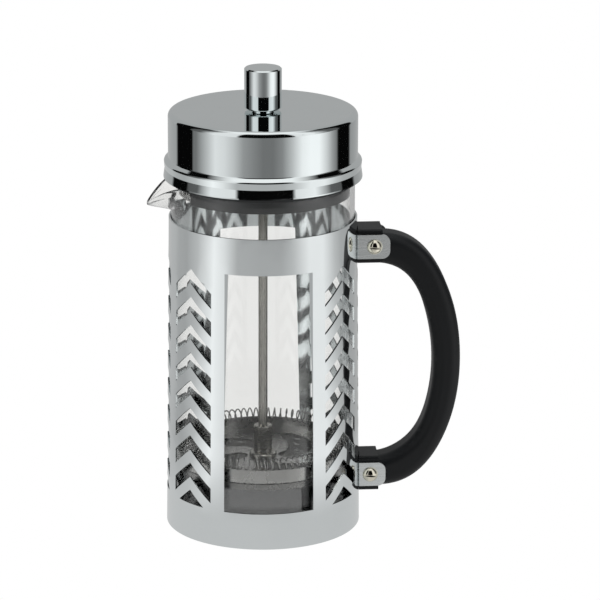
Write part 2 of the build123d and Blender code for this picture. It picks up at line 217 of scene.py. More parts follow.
# ---------------------------------------------------------------------------------------------
# small helpers for node trees


def add_node(tree, kind, **values):
    """A node of a tree; a value named after an input goes to that socket, others are attributes."""
    node = tree.nodes.new(kind)
    for name, value in values.items():
        socket_name = name.replace("_", " ").title()
        if hasattr(node, name):
            setattr(node, name, value)
        elif socket_name in node.inputs:
            node.inputs[socket_name].default_value = value
        else:
            raise KeyError(f"{kind} has no {name}")
    return node


def math_node(tree, operation, first, second=None):
    """Math node on two values or sockets; gives its output socket."""
    node = add_node(tree, "ShaderNodeMath", operation=operation)
    for slot, value in enumerate((first, second)):
        if value is None:
            continue
        if isinstance(value, (int, float)):
            node.inputs[slot].default_value = value
        else:
            tree.links.new(value, node.inputs[slot])
    return node.outputs[0]


def new_group(name, inputs, outputs):
    """Empty shader node group with float inputs {name: default} and float outputs."""
    group = bpy.data.node_groups.new(name, "ShaderNodeTree")
    for label, value in inputs.items():
        socket = group.interface.new_socket(label, in_out="INPUT", socket_type="NodeSocketFloat")
        socket.default_value = value
    for label in outputs:
        group.interface.new_socket(label, in_out="OUTPUT", socket_type="NodeSocketFloat")
    start = group.nodes.new("NodeGroupInput")
    end = group.nodes.new("NodeGroupOutput")
    return group, start, end


def noise(tree, coordinates, scale, detail=2.0, roughness=0.5):
    """Noise texture on given coordinates; scale may be a number or a socket."""
    node = add_node(tree, "ShaderNodeTexNoise", detail=detail, roughness=roughness)
    tree.links.new(coordinates, node.inputs["Vector"])
    if isinstance(scale, (int, float)):
        node.inputs["Scale"].default_value = scale
    else:
        tree.links.new(scale, node.inputs["Scale"])
    return node.outputs["Fac"]


def stretched(tree, coordinates, stretch):
    """Object coordinates scaled differently along each axis."""
    mapping = add_node(tree, "ShaderNodeMapping")
    mapping.inputs["Scale"].default_value = stretch
    tree.links.new(coordinates, mapping.inputs["Vector"])
    return mapping.outputs["Vector"]


def limited(tree, value, limits, results=(0.0, 1.0)):
    """A value that runs between two limits, turned into one that runs between two results."""
    node = add_node(tree, "ShaderNodeMapRange", clamp=True)
    for label, number in zip(("From Min", "From Max", "To Min", "To Max"), (*limits, *results)):
        node.inputs[label].default_value = number
    tree.links.new(value, node.inputs["Value"])
    return node.outputs[0]


def handling_wear_group():
    """Smudges and hairline scratches: Mask varies from 0 to 1, Height is for a Bump node."""
    name = "Handling Wear"
    if name in bpy.data.node_groups:
        return bpy.data.node_groups[name]
    group, start, end = new_group(name, {"Smudge Scale": 40.0, "Scratch Scale": 900.0}, ("Mask", "Height"))
    place = group.nodes.new("ShaderNodeTexCoord").outputs["Object"]
    smudge = noise(group, place, start.outputs["Smudge Scale"], detail=4.0, roughness=0.6)
    hairs = noise(group, stretched(group, place, (1.0, 1.0, 0.06)), start.outputs["Scratch Scale"])
    hair_mask = math_node(group, "MULTIPLY", limited(group, hairs, HAIR_LIMITS), HAIR_WEIGHT)
    mask = math_node(group, "MAXIMUM", limited(group, smudge, SMUDGE_LIMITS), hair_mask)
    group.links.new(mask, end.inputs["Mask"])
    group.links.new(smudge, end.inputs["Height"])
    return group


def drawn_grain_group():
    """Fine lines left by drawing or brushing, running along the object's Z axis or round it."""
    name = "Drawn Grain"
    if name in bpy.data.node_groups:
        return bpy.data.node_groups[name]
    group, start, end = new_group(
        name, {"Line Scale": 2500.0, "Along Z": 0.02, "Across": 1.0}, ("Mask", "Height"))
    place = group.nodes.new("ShaderNodeTexCoord").outputs["Object"]
    parts = add_node(group, "ShaderNodeSeparateXYZ")
    group.links.new(place, parts.inputs[0])
    joined = add_node(group, "ShaderNodeCombineXYZ")
    for axis, stretch in (("X", "Across"), ("Y", "Across"), ("Z", "Along Z")):
        scaled = math_node(group, "MULTIPLY", parts.outputs[axis], start.outputs[stretch])
        group.links.new(scaled, joined.inputs[axis])
    lines = noise(group, joined.outputs[0], start.outputs["Line Scale"], detail=3.0, roughness=0.7)
    group.links.new(lines, end.inputs["Height"])
    group.links.new(limited(group, lines, LINE_LIMITS), end.inputs["Mask"])
    return group


def moulded_grain_group():
    """Fine spark-eroded texture of moulded plastic, with slow changes in sheen."""
    name = "Moulded Grain"
    if name in bpy.data.node_groups:
        return bpy.data.node_groups[name]
    group, start, end = new_group(name, {"Grain Scale": 2600.0, "Sheen Scale": 60.0}, ("Mask", "Height"))
    place = group.nodes.new("ShaderNodeTexCoord").outputs["Object"]
    grain = noise(group, place, start.outputs["Grain Scale"], detail=2.0, roughness=0.65)
    sheen = noise(group, place, start.outputs["Sheen Scale"], detail=3.0, roughness=0.55)
    group.links.new(sheen, end.inputs["Mask"])
    group.links.new(grain, end.inputs["Height"])
    return group


def place_group(tree, group, **values):
    """A node group placed in a material, with its own values."""
    node = tree.nodes.new("ShaderNodeGroup")
    node.node_tree = group
    for name, value in values.items():
        node.inputs[name.replace("_", " ").title()].default_value = value
    return node


def surface(name, metallic, group, group_values, tones, roughness, bump_distance, bump_strength=0.4,
            specular=0.5):
    """Material whose colour, roughness and bump follow a wear or grain group."""
    if name in bpy.data.materials:
        return bpy.data.materials[name]
    material = bpy.data.materials.new(name)
    material.use_nodes = True
    tree = material.node_tree
    shader = tree.nodes["Principled BSDF"]
    shader.inputs["Metallic"].default_value = metallic
    shader.inputs["Specular IOR Level"].default_value = specular
    effect = place_group(tree, group, **group_values)
    colour = add_node(tree, "ShaderNodeMix", data_type="RGBA")
    colour.inputs["A"].default_value = (*tones[0], 1.0)
    colour.inputs["B"].default_value = (*tones[1], 1.0)
    tree.links.new(effect.outputs["Mask"], colour.inputs["Factor"])
    tree.links.new(colour.outputs["Result"], shader.inputs["Base Color"])
    rough = limited(tree, effect.outputs["Mask"], (0.0, 1.0), roughness)
    tree.links.new(rough, shader.inputs["Roughness"])
    bump = add_node(tree, "ShaderNodeBump")
    bump.inputs["Strength"].default_value = bump_strength
    bump.inputs["Distance"].default_value = bump_distance
    tree.links.new(effect.outputs["Height"], bump.inputs["Height"])
    tree.links.new(bump.outputs[0], shader.inputs["Normal"])
    return material


def shaded(colour, factor):
    return tuple(channel * factor for channel in colour)


# ---------------------------------------------------------------------------------------------
# finishes


def polished_steel():
    colour = tuple(bpy.context.scene.press_colours.steel)
    return surface("polished_steel_sheet", 1.0, handling_wear_group(),
                   {"smudge_scale": 30.0, "scratch_scale": 1400.0},
                   (colour, shaded(colour, 0.97)), (0.05, 0.10), 0.00004, 0.12)


def lid_chrome():
    colour = tuple(bpy.context.scene.press_colours.chrome)
    return surface("lid_mirror_chrome", 1.0, handling_wear_group(),
                   {"smudge_scale": 45.0, "scratch_scale": 1800.0},
                   (colour, shaded(colour, 0.98)), (0.025, 0.06), 0.00002, 0.08)


def satin_strip():
    colour = tuple(bpy.context.scene.press_colours.strip)
    return surface("satin_bracket_strip", 1.0, drawn_grain_group(),
                   {"line_scale": 2200.0, "along_z": 1.0, "across": 0.05},
                   (colour, shaded(colour, 0.88)), (0.24, 0.36), 0.00003)


def nickel():
    colour = tuple(bpy.context.scene.press_colours.nickel)
    return surface("warm_nickel", 1.0, handling_wear_group(),
                   {"smudge_scale": 300.0, "scratch_scale": 3000.0},
                   (colour, shaded(colour, 0.92)), (0.05, 0.11), 0.00002, 0.1)


def rod_steel():
    colour = tuple(bpy.context.scene.press_colours.rod_steel)
    return surface("drawn_rod_steel", 1.0, drawn_grain_group(),
                   {"line_scale": 3000.0, "along_z": 0.02, "across": 1.0},
                   (colour, shaded(colour, 0.8)), (0.22, 0.38), 0.00003)


def hub_steel():
    colour = shaded(tuple(bpy.context.scene.press_colours.rod_steel), 0.75)
    return surface("turned_hub_steel", 1.0, drawn_grain_group(),
                   {"line_scale": 3000.0, "along_z": 1.0, "across": 0.1},
                   (colour, shaded(colour, 0.8)), (0.22, 0.38), 0.00003)


def filter_steel():
    colour = tuple(bpy.context.scene.press_colours.filter_steel)
    return surface("pressed_filter_steel", 1.0, handling_wear_group(),
                   {"smudge_scale": 80.0, "scratch_scale": 2200.0},
                   (colour, shaded(colour, 0.86)), (0.22, 0.36), 0.00003)


def spring_wire():
    colour = shaded(tuple(bpy.context.scene.press_colours.filter_steel), 0.85)
    return surface("spring_wire_steel", 1.0, drawn_grain_group(),
                   {"line_scale": 4000.0, "along_z": 1.0, "across": 1.0},
                   (colour, shaded(colour, 0.75)), (0.18, 0.32), 0.00001)


def wire_cloth():
    colour = shaded(tuple(bpy.context.scene.press_colours.filter_steel), 0.8)
    return surface("woven_wire_steel", 1.0, drawn_grain_group(),
                   {"line_scale": 5000.0, "along_z": 1.0, "across": 1.0},
                   (colour, shaded(colour, 0.7)), (0.25, 0.4), 0.00001)


def handle_plastic():
    colour = tuple(bpy.context.scene.press_colours.grip)
    return surface("moulded_handle_black", 0.0, moulded_grain_group(), {"grain_scale": 2400.0},
                   (colour, shaded(colour, 1.4)), (0.42, 0.52), 0.00006, 0.25, 0.3)


def collar_plastic():
    colour = tuple(bpy.context.scene.press_colours.collar)
    return surface("moulded_collar_grey", 0.0, moulded_grain_group(), {"grain_scale": 3200.0},
                   (colour, shaded(colour, 1.25)), (0.34, 0.44), 0.00004, 0.2, 0.3)


def cushion_plastic_painted_shade():
    # painted shade: the collar's grey halved, a darker copy of the same plastic that stands in for less light on the
    # cushion
    colour = shaded(tuple(bpy.context.scene.press_colours.collar), 0.5)
    return surface("moulded_cushion_grey", 0.0, moulded_grain_group(), {"grain_scale": 2800.0},
                   (colour, shaded(colour, 1.25)), (0.40, 0.50), 0.00004, 0.2, 0.3)


def lower_plate_steel():
    # painted shade: the filter steel at 0.55, a darker copy of the same steel that stands in for shade on the cross
    # plate
    colour = shaded(tuple(bpy.context.scene.press_colours.filter_steel), 0.55)
    return surface("stained_filter_steel", 1.0, handling_wear_group(),
                   {"smudge_scale": 90.0, "scratch_scale": 2200.0},
                   (colour, shaded(colour, 0.8)), (0.26, 0.40), 0.00003)


def clear_glass():
    """Borosilicate glass; its faint draw lines come from the bump alone."""
    name = "clear_borosilicate"
    if name in bpy.data.materials:
        return bpy.data.materials[name]
    material = bpy.data.materials.new(name)
    material.use_nodes = True
    tree = material.node_tree
    shader = tree.nodes["Principled BSDF"]
    shader.inputs["Base Color"].default_value = (*bpy.context.scene.press_colours.glass, 1.0)
    shader.inputs["Roughness"].default_value = 0.0
    shader.inputs["IOR"].default_value = 1.47
    shader.inputs["Transmission Weight"].default_value = 1.0
    effect = place_group(tree, drawn_grain_group(), line_scale=60.0, along_z=0.15, across=1.0)
    bump = add_node(tree, "ShaderNodeBump")
    bump.inputs["Strength"].default_value = 0.05
    bump.inputs["Distance"].default_value = 0.0001
    tree.links.new(effect.outputs["Height"], bump.inputs["Height"])
    tree.links.new(bump.outputs[0], shader.inputs["Normal"])
    return material


def give(material, *nodes):
    """Puts a finish on parts of the press."""
    for name in nodes:
        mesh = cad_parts[name].data
        mesh.materials.clear()
        mesh.materials.append(material)


# ---------------------------------------------------------------------------------------------
# meshes made here


def mesh_piece(name, points, faces, material, smooth=True):
    """New object at the origin from points in metres."""
    mesh = bpy.data.meshes.new(name)
    mesh.from_pydata(points, [], faces)
    mesh.validate()
    mesh.materials.append(material)
    mesh.polygons.foreach_set("use_smooth", [smooth] * len(mesh.polygons))
    piece = bpy.data.objects.new(name, mesh)
    bpy.context.scene.collection.objects.link(piece)
    return piece


def smoothstep(low, high, value):
    part = min(max((value - low) / (high - low), 0.0), 1.0)
    return part * part * (3.0 - 2.0 * part)


def spout_strength(angle, width):
    """1 at the lip's tip, falling to 0 at its sides; angle is measured from the spout."""
    away = math.hypot(angle, LIP_TIP_ANGLE) - LIP_TIP_ANGLE
    if away >= width:
        return 0.0
    return (1.0 - away / width) ** LIP_POWER


def glass_outside(sizes, angle, part):
    """(radius, height) on the outside, from the foot's corner (part 0) to the rim (part 1)."""
    strength = spout_strength(angle, sizes.spout_width)
    start = sizes.foot + OUTER_CORNER
    neck = sizes.rim - NECK_DROP
    if part < NECK_PART:
        return sizes.radius, start + (neck - start) * part / NECK_PART
    upper = (part - NECK_PART) / (1.0 - NECK_PART)
    top = sizes.rim - sizes.spout_drop * strength
    height = neck + (top - neck) * upper
    swell = smoothstep(*LIP_SWELL, upper) * strength ** LIP_SWELL_POWER
    return sizes.radius + sizes.spout_reach * swell, height


def glass_columns(sizes):
    """Angles round the glass from the spout, closer together on the spout."""
    count = int(sizes.spout_width * 1.1 / FINE_ANGLE)
    near = [FINE_ANGLE * index for index in range(-count, count + 1)]
    gap = 2.0 * math.pi - 2.0 * near[-1]
    far = [near[-1] + gap * index / COARSE_COLUMNS for index in range(1, COARSE_COLUMNS)]
    return near + far


def glass_profile(sizes, angle):
    """Closed wall section at an angle, outside foot to inside floor, as (radius, height)."""
    folded = (angle + math.pi) % (2.0 * math.pi) - math.pi
    strength = spout_strength(folded, sizes.spout_width)
    outside = []
    for step in range(CORNER_STEPS + 1):
        turn = math.radians(-90.0 + 90.0 * step / CORNER_STEPS)
        outside.append((sizes.radius - OUTER_CORNER + OUTER_CORNER * math.cos(turn),
                        sizes.foot + OUTER_CORNER + OUTER_CORNER * math.sin(turn)))
    parts = [NECK_PART * row / LOW_ROWS for row in range(1, LOW_ROWS + 1)]
    parts += [NECK_PART + (1.0 - NECK_PART) * row / HIGH_ROWS for row in range(1, HIGH_ROWS + 1)]
    wall = [glass_outside(sizes, folded, part) for part in parts]
    thickness = sizes.wall - LIP_THINNING * strength
    rim_r, rim_z = wall[-1]
    before_r, before_z = wall[-2]
    along_r, along_z = rim_r - before_r, rim_z - before_z
    length = math.hypot(along_r, along_z)
    along_r, along_z = along_r / length, along_z / length
    in_r, in_z = -along_z, along_r
    outside += wall
    inside = []
    for index, (radius, height) in enumerate(wall):
        first = wall[max(index - 1, 0)]
        last = wall[min(index + 1, len(wall) - 1)]
        step_r, step_z = last[0] - first[0], last[1] - first[1]
        size = math.hypot(step_r, step_z)
        inside.append((radius - step_z / size * thickness, height + step_r / size * thickness))
    middle_r = rim_r + in_r * thickness / 2
    middle_z = rim_z + in_z * thickness / 2
    rim = []
    for step in range(1, RIM_STEPS):
        turn = math.pi * step / RIM_STEPS
        across, up = math.cos(turn) * thickness / 2, math.sin(turn) * thickness / 2
        rim.append((middle_r - in_r * across + along_r * up, middle_z - in_z * across + along_z * up))
    inner = sizes.radius - sizes.wall
    floor = sizes.foot + sizes.floor
    bottom = []
    for step in range(CORNER_STEPS):
        turn = math.radians(-90.0 * step / (CORNER_STEPS - 1))
        bottom.append((inner - INNER_CORNER + INNER_CORNER * math.cos(turn),
                       floor + INNER_CORNER + INNER_CORNER * math.sin(turn)))
    return outside + rim + inside[::-1] + bottom


def blown_glass(sizes):
    """Closed shell of the beaker: one wall section swept round, with the lip drawn out."""
    columns = glass_columns(sizes)
    points, faces = [], []
    for angle in columns:
        for radius, height in glass_profile(sizes, angle):
            points.append((-radius * math.cos(angle), -radius * math.sin(angle), height))
    rows = len(points) // len(columns)
    for column in range(len(columns)):
        here, there = column * rows, (column + 1) % len(columns) * rows
        for row in range(rows - 1):
            faces.append((here + row, there + row, there + row + 1, here + row + 1))
    foot_centre = len(points)
    points.append((0.0, 0.0, sizes.foot))
    floor_centre = len(points)
    points.append((0.0, 0.0, sizes.foot + sizes.floor))
    for column in range(len(columns)):
        here, there = column * rows, (column + 1) % len(columns) * rows
        faces.append((foot_centre, there, here))
        faces.append((floor_centre, here + rows - 1, there + rows - 1))
    return points, faces


# ---------------------------------------------------------------------------------------------
# geometry nodes


def geometry_tree(name, inputs):
    """Geometry node tree with named inputs {label: (socket type, value)}."""
    tree = bpy.data.node_groups.new(name, "GeometryNodeTree")
    tree.interface.new_socket("Geometry", in_out="INPUT", socket_type="NodeSocketGeometry")
    for label, (kind, value) in inputs.items():
        socket = tree.interface.new_socket(label, in_out="INPUT", socket_type=kind)
        if value is not None:
            socket.default_value = value
    tree.interface.new_socket("Geometry", in_out="OUTPUT", socket_type="NodeSocketGeometry")
    return tree, tree.nodes.new("NodeGroupInput"), tree.nodes.new("NodeGroupOutput")


def finish_tree(tree, start, end, geometry):
    """Closes a tree with Realize Instances and Set Material."""
    realize = tree.nodes.new("GeometryNodeRealizeInstances")
    paint = tree.nodes.new("GeometryNodeSetMaterial")
    smooth = tree.nodes.new("GeometryNodeSetShadeSmooth")
    tree.links.new(geometry, realize.inputs[0])
    tree.links.new(realize.outputs[0], smooth.inputs["Geometry"])
    tree.links.new(smooth.outputs[0], paint.inputs["Geometry"])
    tree.links.new(start.outputs["Material"], paint.inputs["Material"])
    tree.links.new(paint.outputs[0], end.inputs[0])


def grown_piece(name, tree, values, material):
    """Runs a tree on an empty mesh and keeps its result as a plain mesh."""
    seed = bpy.data.objects.new(name + "_seed", bpy.data.meshes.new(name + "_seed"))
    bpy.context.scene.collection.objects.link(seed)
    modifier = seed.modifiers.new("Build", "NODES")
    modifier.node_group = tree
    sockets = {item.name: item.identifier for item in tree.interface.items_tree if item.in_out == "INPUT"}
    for label, value in {**values, "Material": material}.items():
        modifier[sockets[label]] = value
    graph = bpy.context.evaluated_depsgraph_get()
    mesh = bpy.data.meshes.new_from_object(seed.evaluated_get(graph))
    mesh.name = name
    seed.modifiers.clear()
    bpy.data.objects.remove(seed)
    if not mesh.polygons:
        raise RuntimeError(f"{name} came out empty")
    piece = bpy.data.objects.new(name, mesh)
    bpy.context.scene.collection.objects.link(piece)
    return piece


def wire_profile(tree, radius_socket, sides):
    profile = add_node(tree, "GeometryNodeCurvePrimitiveCircle")
    profile.inputs["Resolution"].default_value = sides
    tree.links.new(radius_socket, profile.inputs["Radius"])
    return profile.outputs[0]


def spring_tree():
    """One wire wound as a coil whose centre line is a circle, closed on itself."""
    tree, start, end = geometry_tree("Ring Spring", {
        "Turns": ("NodeSocketInt", 78),
        "Ring Radius": ("NodeSocketFloat", 0.04),
        "Coil Radius": ("NodeSocketFloat", 0.003),
        "Wire Radius": ("NodeSocketFloat", 0.0004),
        "Height": ("NodeSocketFloat", 0.04),
        "Material": ("NodeSocketMaterial", None),
    })
    path = add_node(tree, "GeometryNodeCurvePrimitiveCircle")
    count = math_node(tree, "MULTIPLY", start.outputs["Turns"], STEPS_PER_TURN)
    tree.links.new(count, path.inputs["Resolution"])
    index = tree.nodes.new("GeometryNodeInputIndex").outputs[0]
    round_ring = math_node(tree, "MULTIPLY", math_node(tree, "DIVIDE", index, count), 2.0 * math.pi)
    round_coil = math_node(tree, "MULTIPLY", round_ring, start.outputs["Turns"])
    reach = math_node(tree, "COSINE", round_coil)
    outwards = math_node(tree, "MULTIPLY", reach, start.outputs["Coil Radius"])
    radius = math_node(tree, "ADD", outwards, start.outputs["Ring Radius"])
    rise = math_node(tree, "MULTIPLY", math_node(tree, "SINE", round_coil), -1.0)
    upwards = math_node(tree, "MULTIPLY", rise, start.outputs["Coil Radius"])
    place = add_node(tree, "ShaderNodeCombineXYZ")
    for axis, wave in (("X", "COSINE"), ("Y", "SINE")):
        along = math_node(tree, "MULTIPLY", radius, math_node(tree, wave, round_ring))
        tree.links.new(along, place.inputs[axis])
    tree.links.new(math_node(tree, "ADD", upwards, start.outputs["Height"]), place.inputs["Z"])
    moved = add_node(tree, "GeometryNodeSetPosition")
    tree.links.new(path.outputs[0], moved.inputs["Geometry"])
    tree.links.new(place.outputs[0], moved.inputs["Position"])
    swept = add_node(tree, "GeometryNodeCurveToMesh")
    tree.links.new(moved.outputs[0], swept.inputs["Curve"])
    profile = wire_profile(tree, start.outputs["Wire Radius"], WIRE_SIDES)
    tree.links.new(profile, swept.inputs["Profile Curve"])
    finish_tree(tree, start, end, swept.outputs[0])
    return tree


def cloth_wires(tree, start, direction):
    """Parallel wires trimmed to the disc, waving over and under the other set."""
    wires = math_node(tree, "FLOOR", math_node(
        tree, "DIVIDE", math_node(tree, "MULTIPLY", start.outputs["Radius"], 2.0), start.outputs["Pitch"]))
    unit = add_node(tree, "GeometryNodeCurvePrimitiveLine")
    unit.inputs["Start"].default_value = (-1.0, 0.0, 0.0)
    unit.inputs["End"].default_value = (1.0, 0.0, 0.0)
    row = add_node(tree, "GeometryNodeMeshLine", mode="OFFSET")
    tree.links.new(wires, row.inputs["Count"])
    offset = add_node(tree, "ShaderNodeCombineXYZ")
    tree.links.new(start.outputs["Pitch"], offset.inputs["Y"])
    tree.links.new(offset.outputs[0], row.inputs["Offset"])
    first = add_node(tree, "ShaderNodeCombineXYZ")
    span = math_node(tree, "MULTIPLY", math_node(tree, "SUBTRACT", wires, 1.0), start.outputs["Pitch"])
    tree.links.new(math_node(tree, "MULTIPLY", span, -0.5), first.inputs["Y"])
    tree.links.new(first.outputs[0], row.inputs["Start Location"])
    parts = add_node(tree, "ShaderNodeSeparateXYZ")
    tree.links.new(tree.nodes.new("GeometryNodeInputPosition").outputs[0], parts.inputs[0])
    square = math_node(tree, "MULTIPLY", parts.outputs["Y"], parts.outputs["Y"])
    room = math_node(tree, "MULTIPLY", start.outputs["Radius"], start.outputs["Radius"])
    half = math_node(tree, "SQRT", math_node(tree, "SUBTRACT", room, square))
    scale = add_node(tree, "ShaderNodeCombineXYZ")
    scale.inputs["Y"].default_value = 1.0
    scale.inputs["Z"].default_value = 1.0
    tree.links.new(half, scale.inputs["X"])
    copies = add_node(tree, "GeometryNodeInstanceOnPoints")
    tree.links.new(row.outputs[0], copies.inputs["Points"])
    tree.links.new(unit.outputs[0], copies.inputs["Instance"])
    tree.links.new(scale.outputs[0], copies.inputs["Scale"])
    real = tree.nodes.new("GeometryNodeRealizeInstances")
    tree.links.new(copies.outputs[0], real.inputs[0])
    divided = add_node(tree, "GeometryNodeResampleCurve", mode="LENGTH")
    tree.links.new(real.outputs[0], divided.inputs["Curve"])
    tree.links.new(start.outputs["Pitch"], divided.inputs["Length"])
    turned = add_node(tree, "GeometryNodeTransform")
    tree.links.new(divided.outputs[0], turned.inputs["Geometry"])
    turned.inputs["Rotation"].default_value = (0.0, 0.0, math.pi / 2 if direction < 0 else 0.0)
    place = add_node(tree, "ShaderNodeSeparateXYZ")
    tree.links.new(tree.nodes.new("GeometryNodeInputPosition").outputs[0], place.inputs[0])
    waves = []
    for axis in ("X", "Y"):
        angle = math_node(tree, "MULTIPLY", math_node(
            tree, "DIVIDE", place.outputs[axis], start.outputs["Pitch"]), math.pi)
        waves.append(math_node(tree, "COSINE", angle))
    wave = math_node(tree, "MULTIPLY", math_node(tree, "MULTIPLY", *waves), start.outputs["Wire Radius"])
    shift = add_node(tree, "ShaderNodeCombineXYZ")
    tree.links.new(math_node(tree, "ADD", math_node(tree, "MULTIPLY", wave, float(direction)),
                             start.outputs["Height"]), shift.inputs["Z"])
    moved = add_node(tree, "GeometryNodeSetPosition")
    tree.links.new(turned.outputs[0], moved.inputs["Geometry"])
    tree.links.new(shift.outputs[0], moved.inputs["Offset"])
    swept = add_node(tree, "GeometryNodeCurveToMesh")
    tree.links.new(moved.outputs[0], swept.inputs["Curve"])
    profile = wire_profile(tree, start.outputs["Wire Radius"], CLOTH_SIDES)
    tree.links.new(profile, swept.inputs["Profile Curve"])
    swept.inputs["Fill Caps"].default_value = True
    return swept.outputs[0]


def cloth_tree():
    """Plain weave of two sets of wires."""
    tree, start, end = geometry_tree("Wire Cloth", {
        "Radius": ("NodeSocketFloat", 0.04),
        "Pitch": ("NodeSocketFloat", 0.001),
        "Wire Radius": ("NodeSocketFloat", 0.00015),
        "Height": ("NodeSocketFloat", 0.03),
        "Material": ("NodeSocketMaterial", None),
    })
    both = add_node(tree, "GeometryNodeJoinGeometry")
    for direction in (1, -1):
        tree.links.new(cloth_wires(tree, start, direction), both.inputs[0])
    finish_tree(tree, start, end, both.outputs[0])
    return tree


# ---------------------------------------------------------------------------------------------
# studio


def ramp(tree, fraction, stops):
    """Colour ramp of greys over a fraction from 0 to 1; stops are (degrees, grey)."""
    node = add_node(tree, "ShaderNodeValToRGB")
    ends = node.color_ramp.elements
    while len(ends) < len(stops):
        ends.new(0.5)
    for element, (degrees, grey) in zip(ends, stops):
        element.position = degrees / 360.0 + 0.5
        element.color = (grey, grey, grey, 1.0)
    tree.links.new(fraction, node.inputs[0])
    return node.outputs["Color"]


def turn_fraction(tree, across, away, azimuth):
    """0 to 1 round the press, 0.5 towards the camera, from two components of a direction."""
    angle = math_node(tree, "ARCTAN2", across, math_node(tree, "MULTIPLY", away, -1.0))
    turned = math_node(tree, "SUBTRACT", angle, azimuth)
    fraction = math_node(tree, "DIVIDE", turned, 2.0 * math.pi)
    return math_node(tree, "FRACT", math_node(tree, "ADD", fraction, 1.5))


# Brightness round the press, in degrees from the camera. The glowing floor paints the first two as
# reflections for mirror rays: what the table shows close by, and the low walls with two soft boxes in
# front and a black flag behind each side. The world lights the press with the same room higher up,
# where a black curtain hangs behind the camera; the far floor paints it as a reflection too.
PAINTED_TABLE_REFLECTION = ((-180, 0.55), (-130, 0.52), (-118, 0.45), (-103, 0.43), (-83, 0.58), (-59, 1.08), (-46, 0.88),
         (-30, 0.50), (0, 0.47), (22, 0.48), (36, 0.60), (56, 0.98), (75, 0.98), (94, 0.60), (106, 0.47),
         (126, 0.43), (140, 0.44), (180, 0.55))
PAINTED_WALL_REFLECTION = ((-180, 0.50), (-127, 0.38), (-122.6, 0.002), (-92.7, 0.002), (-91, 0.18), (-86, 0.19), (-69, 0.57),
         (-58, 0.86), (-46, 0.79), (-34.6, 0.61), (-23, 0.35), (-11, 0.26), (0, 0.19), (12, 0.19), (23, 0.28),
         (35, 0.59), (47, 0.99), (58, 1.09), (70, 1.08), (82, 0.70), (90, 0.39), (98, 0.21), (100.5, 0.002),
         (124.5, 0.002), (129, 0.33), (180, 0.50))
UPPER = ((-180, 0.42), (-128, 0.42), (-126, 0.002), (-97, 0.002), (-94, 0.10), (-80, 0.12), (-62, 0.9),
         (-32, 0.85), (-28, 0.002), (34, 0.002), (38, 0.85), (62, 1.0), (84, 0.12), (101, 0.10),
         (104, 0.002), (129, 0.002), (132, 0.42), (180, 0.42))
FLOOR_RADIUS = 6.0
FLOOR_HEIGHT = -0.0002
# painted reflection: the grey that mirror rays see on the floor close round the foot
FOOT_PAINTED_REFLECTION = (0.62, 0.62, 0.62, 1.0)
FOOT_REACH = (0.09, 0.19)
TABLE_REACH = 0.72
# painted shade: a black ring sector in the floor's reflection, standing for the shadowed gap at the table's edge
PAINTED_DARK_GAP = (0.735, 0.772, -27.0, 34.0)
WALLS_REACH = 2.4
ROOF_EDGE = (0.82, 0.95)

OVERHEAD_PLACE = (0.2, -0.3, 2.2)
OVERHEAD_SIZE = 2.4
LEFT_BOX_PLACE = (-1.6, -1.1, 1.1)
LEFT_BOX_POWER = 4.0
RIGHT_BOX_PLACE = (1.7, -0.8, 1.1)
RIGHT_BOX_POWER = 5.0
BOX_SIZE = 1.0
AIM_HEIGHT = {"overhead": 0.1, "left_box": 0.12, "right_box": 0.12}

# painted shade: the white behind the glass, shown darker and warmer to rays that only passed through glass
PAINTED_THROUGH_GLASS_GREY = (0.875, 0.865, 0.853, 1.0)
AMBIENT = (0.34, 0.34, 0.34, 1.0)


def mixed(tree, factor, first, second):
    """Colour mix; each of first and second is a socket or a colour."""
    node = add_node(tree, "ShaderNodeMix", data_type="RGBA")
    tree.links.new(factor, node.inputs["Factor"])
    for label, value in (("A", first), ("B", second)):
        if isinstance(value, tuple):
            node.inputs[label].default_value = value
        else:
            tree.links.new(value, node.inputs[label])
    return node.outputs["Result"]


def by_ray(tree, reflected):
    """Colour by kind of ray: the reflected colour for mirror rays, the ambient grey for scattered rays, plain white
    for what is seen directly, and a painted darker grey for what is seen only through glass.
    """
    light_path = tree.nodes.new("ShaderNodeLightPath")
    bounced = math_node(tree, "MINIMUM", light_path.outputs["Glossy Depth"], 1.0)
    scattered = math_node(tree, "MINIMUM", light_path.outputs["Diffuse Depth"], 1.0)
    colour = mixed(tree, bounced, PAINTED_THROUGH_GLASS_GREY, reflected)
    colour = mixed(tree, scattered, colour, AMBIENT)
    return mixed(tree, light_path.outputs["Is Camera Ray"], colour, WHITE)


def room_light(azimuth):
    """World: the upper room that polished metal shows, and plain white behind everything."""
    world = bpy.data.worlds.new("soft_studio")
    bpy.context.scene.world = world
    world.use_nodes = True
    tree = world.node_tree
    parts = add_node(tree, "ShaderNodeSeparateXYZ")
    tree.links.new(tree.nodes.new("ShaderNodeTexCoord").outputs["Generated"], parts.inputs[0])
    room = ramp(tree, turn_fraction(tree, parts.outputs["X"], parts.outputs["Y"], azimuth), UPPER)
    whole = mixed(tree, limited(tree, parts.outputs["Z"], ROOF_EDGE), room, WHITE)
    tree.links.new(by_ray(tree, whole), tree.nodes["Background"].inputs["Color"])


def flat_disc(name, radius, height, material):
    """Flat disc for the stage."""
    steps = 96
    turns = [2.0 * math.pi * step / steps for step in range(steps)]
    points = [(radius * math.cos(turn), radius * math.sin(turn), height) for turn in turns]
    piece = mesh_piece(name, points, [tuple(range(steps))], material, smooth=False)
    return piece


def between(tree, value, low, high):
    """1 where a value lies between two limits, else 0."""
    above = math_node(tree, "GREATER_THAN", value, low)
    return math_node(tree, "MULTIPLY", above, math_node(tree, "LESS_THAN", value, high))


